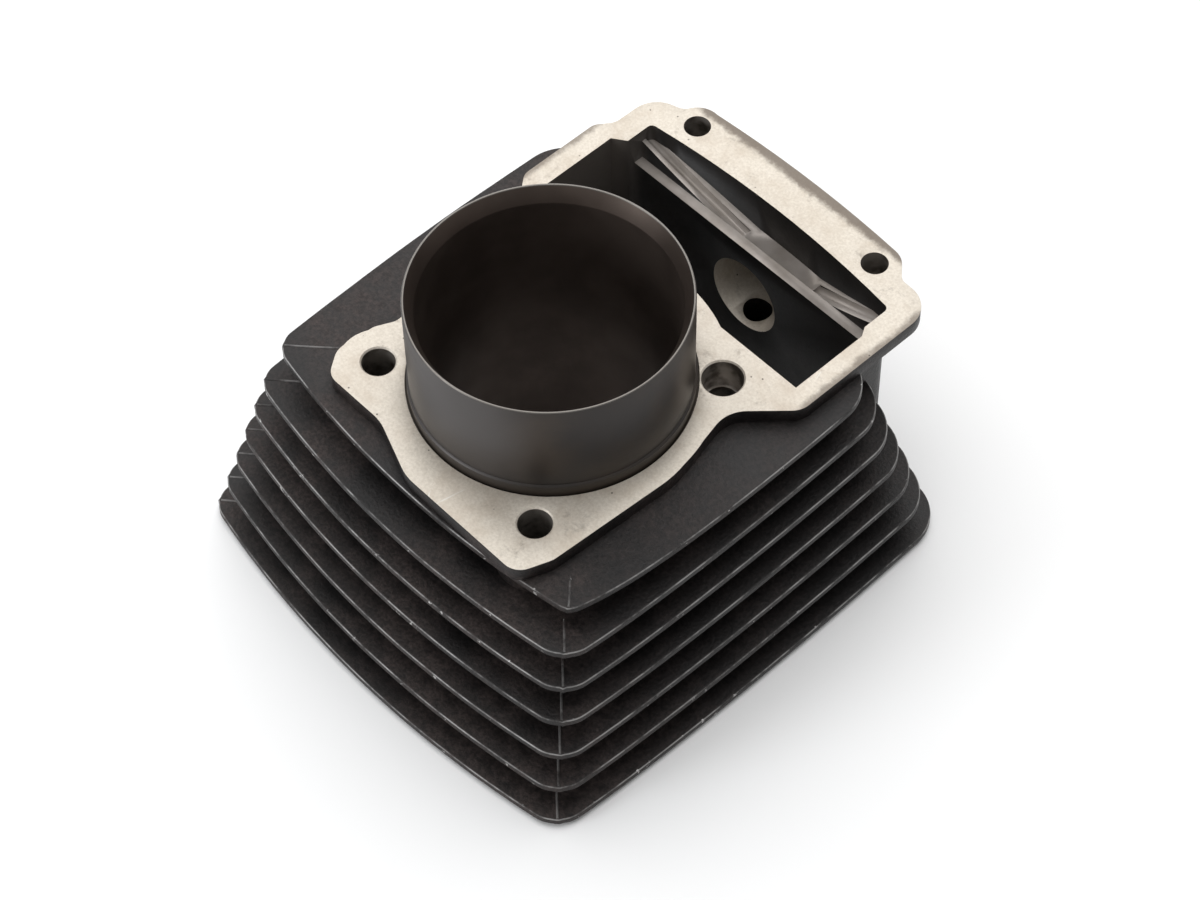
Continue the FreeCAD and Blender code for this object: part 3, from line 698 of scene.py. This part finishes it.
TUNNEL_LEFT, TUNNEL_RIGHT = -45.8 * MM, 43.1 * MM
TUNNEL_FRONT, TUNNEL_REAR = 39.7 * MM, 76.3 * MM
TUNNEL_WALL = 67.3 * MM
PORT_REACH = 11.1 * MM
PORT_MOUTH = 58 * MM
PORT_END = 78.3 * MM
EDGE_BREAK = 0.22 * MM
GASKET_DEPTH = 0.35 * MM
BORE_SIDE_REACH = 43 * MM
LEDGE_DEPTH = 14.5 * MM
LEDGE_MARGIN = 0.8 * MM
MERGE_GAP = 0.001 * MM
FLAT_ANGLE = math.radians(0.6)
CORNER_ANGLE = math.radians(40)
OPENINGS = {opening["name"]: opening for opening in frame["record"]["physics"]["openings"]}
PORT = OPENINGS["cross_bore"]["box_m"]
PORT_X = (PORT[0][0] + PORT[1][0]) / 2
PORT_Z = (PORT[0][2] + PORT[1][2]) / 2


def body_finish(centre, normal, holes):
    """Which of the body's finishes a face takes, from where it lies and which way it looks."""
    machined, paint, skin, bare, drilled = 0, 1, 2, 3, 4
    if centre.z > BARREL_HEIGHT - GASKET_DEPTH and normal.z > 0.3:
        return machined
    if centre.z < GASKET_DEPTH and normal.z < -0.3:
        return machined
    for x, y, reach in holes:
        if math.hypot(centre.x - x, centre.y - y) < reach:
            return drilled
    port = math.hypot(centre.x - PORT_X, centre.z - PORT_Z) < PORT_REACH
    if port and PORT_MOUTH < centre.y < PORT_END and (abs(normal.y) < 0.5 or centre.y > TUNNEL_REAR):
        return machined
    across = TUNNEL_LEFT < centre.x < TUNNEL_RIGHT
    clear_of_bore = math.hypot(centre.x, centre.y) > BORE_SIDE_REACH
    if across and TUNNEL_FRONT < centre.y < TUNNEL_REAR and clear_of_bore:
        outside = centre.y > TUNNEL_WALL and centre.z < BARREL_HEIGHT - LEDGE_DEPTH
        if centre.y > TUNNEL_WALL - LEDGE_MARGIN and normal.z > 0.15 and not outside:
            return bare
        if not outside:
            return skin
    return paint


def barrel_body(machined, paint, skin, bare, drilled):
    """The jacket, stud columns, chain tunnel and flanges, with every sharp outer edge broken."""
    mesh = frame["nodes"]["barrel_body"].data.copy()
    mesh.materials.clear()
    bm = bmesh.new()
    bm.from_mesh(mesh)
    bmesh.ops.remove_doubles(bm, verts=bm.verts, dist=MERGE_GAP)
    bmesh.ops.dissolve_limit(bm, angle_limit=FLAT_ANGLE, verts=bm.verts, edges=bm.edges)
    sharp = []
    for edge in bm.edges:
        if len(edge.link_faces) == 2 and edge.is_convex and edge.calc_face_angle() > CORNER_ANGLE:
            sharp.append(edge)
    bmesh.ops.bevel(bm, geom=sharp, offset=EDGE_BREAK, segments=2, profile=0.5, affect="EDGES",
                    clamp_overlap=True)
    holes = hole_places()
    for face in bm.faces:
        face.material_index = body_finish(face.calc_center_median(), face.normal, holes)
    bmesh.ops.triangulate(bm, faces=[face for face in bm.faces if len(face.verts) > 4])
    bm.to_mesh(mesh)
    bm.free()
    body = solid_object("barrel_casting", mesh, machined, paint, skin, bare, drilled)
    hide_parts("barrel_body")
    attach(body, "root")


# ---------------------------------------------------------------- the liner


def cylinder_liner(outside, rim, bore):
    """The iron liner, turned: head collar, register, spigot, bright rim, lead-in and honed bore."""
    skin, bright, honed = 0, 1, 2
    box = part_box("cylinder_liner")
    collar = box[1].x
    collar_height = 3.5 * MM
    inside = 35.5 * MM
    deck, top = BARREL_HEIGHT, LINER_TOP
    groove_radius = 35.0 * MM
    groove_low, groove_high = deck - 0.9 * MM, deck + 2.9 * MM
    lead_in, lead_radius = 4.4 * MM, 33.9 * MM
    profile = [
        (BORE_RADIUS, 0.3 * MM, bright),
        (BORE_RADIUS + 0.3 * MM, 0, bright),
        (collar - 0.2 * MM, 0, bright),
        (collar, 0.2 * MM, skin),
        (collar, collar_height, skin),
        (inside, collar_height, skin),
        (inside, groove_low, skin),
        (groove_radius, groove_low, skin),
        (groove_radius, groove_high, skin),
        (34.9 * MM, deck + 3.05 * MM, skin),
        (SPIGOT_RADIUS, deck + 3.3 * MM, skin),
        (SPIGOT_RADIUS, top - 0.45 * MM, skin),
        (SPIGOT_RADIUS - 0.10 * MM, top - 0.16 * MM, bright),
        (SPIGOT_RADIUS - 0.28 * MM, top, bright),
        (lead_radius, top, bright),
        (lead_radius - 0.12 * MM, top - 0.2 * MM, honed),
        (BORE_RADIUS + 0.12 * MM, top - lead_in + 0.2 * MM, honed),
        (BORE_RADIUS, top - lead_in - 0.1 * MM, honed),
    ]
    liner = solid_object("liner", turned("liner", profile), outside, rim, bore, angle=28)
    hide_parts("cylinder_liner")
    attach(liner, "root")


# ---------------------------------------------------------------- floor, light and camera


LIT_POINT = Vector((0, 10, 30)) * MM


def floor(paper):
    bm = bmesh.new()
    bmesh.ops.create_grid(bm, x_segments=1, y_segments=1, size=1.6)
    sheet = solid_object("floor", finished_mesh("floor", bm), paper)


def soft_lamp(name, place, size, watts, tint=(1, 1, 1)):
    lamp = bpy.data.lights.new(name, "AREA")
    lamp.shape = "DISK"
    lamp.size = size
    lamp.energy = watts
    lamp.color = tint
    holder = placed(name, lamp)
    holder.location = place
    aim = LIT_POINT - Vector(place)
    holder.rotation_euler = aim.to_track_quat("-Z", "Y").to_euler()


def studio():
    world = bpy.data.worlds.new("studio")
    bpy.context.scene.world = world
    world.use_nodes = True
    sky = world.node_tree.nodes["Background"]
    sky.inputs["Color"].default_value = (1.0, 1.0, 1.0, 1.0)
    sky.inputs["Strength"].default_value = 0.5
    soft_lamp("overhead", (-0.45, 0.40, 1.25), size=2.4, watts=25)
    soft_lamp("front_fill", (-0.35, -0.95, 0.40), size=0.4, watts=3.6, tint=(0.94, 0.97, 1.0))
    bpy.context.scene.view_settings.view_transform = "Standard"


def camera():
    """Looks down at the front right corner, turned a little to one side."""
    place = Vector((355.8, -306.6, 678.7)) * MM
    right = Vector((0.6845, 0.7288, -0.0140))
    up = Vector((-0.5831, 0.5590, 0.5894))
    back = right.cross(up).normalized()
    up = back.cross(right).normalized()
    lens = bpy.data.cameras.new("camera")
    lens.lens = 96.3
    lens.sensor_width = 36
    lens.clip_start = 0.01
    holder = placed("camera", lens)
    turn = Matrix((right.normalized(), up, back)).transposed().to_4x4()
    holder.matrix_world = Matrix.Translation(place) @ turn
    bpy.context.scene.camera = holder


paint = satin_black_paint()
cooling_fins(paint)
barrel_body(machined_face(), paint, tunnel_skin(), bare_casting(), drilled_hole())
cylinder_liner(turned_iron(), liner_rim(), honed_bore())
floor(backdrop_white())
studio()
camera()
